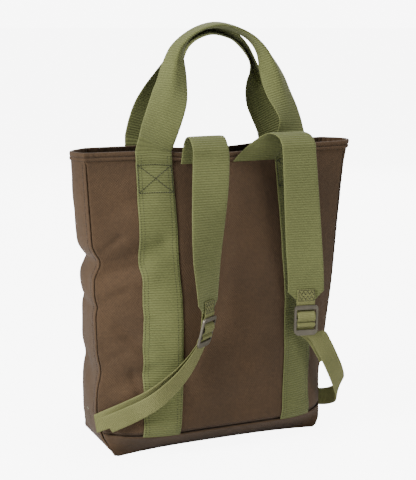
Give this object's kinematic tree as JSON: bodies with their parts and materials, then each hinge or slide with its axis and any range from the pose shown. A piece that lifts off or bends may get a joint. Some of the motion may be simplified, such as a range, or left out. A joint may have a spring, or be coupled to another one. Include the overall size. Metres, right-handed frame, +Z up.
{
  "type": "convertible backpack",
  "caption": "Open canvas tote with a boot, webbing handles and webbing shoulder straps with ladder-lock buckles on one wide side.",
  "frame": {"origin": "centre of the flat base, on the floor", "axes": "+Z up, +X to the right in the view of the strap side, -Y out of the strap side"},
  "size_m": [0.4169, 0.2646, 0.5757],
  "materials": {
    "canvas": "plain woven brown canvas, matt",
    "binding": "folded brown canvas strip, matt",
    "webbing": "ribbed olive cotton webbing, matt",
    "buckle": "matt grey-taupe coating"
  },
  "bodies": {
    "root": {"back_panel": "canvas", "front_panel": "canvas", "left_gusset": "canvas", "right_gusset": "canvas", "bottom_panel": "canvas", "rim_binding": "binding", "back_handle": "webbing", "front_handle": "webbing", "left_shoulder_strap": "webbing", "right_shoulder_strap": "webbing", "left_buckle_tab": "webbing", "right_buckle_tab": "webbing", "left_adjuster": "webbing", "right_adjuster": "webbing", "left_buckle": "buckle", "right_buckle": "buckle"}
  },
  "joints": []
}
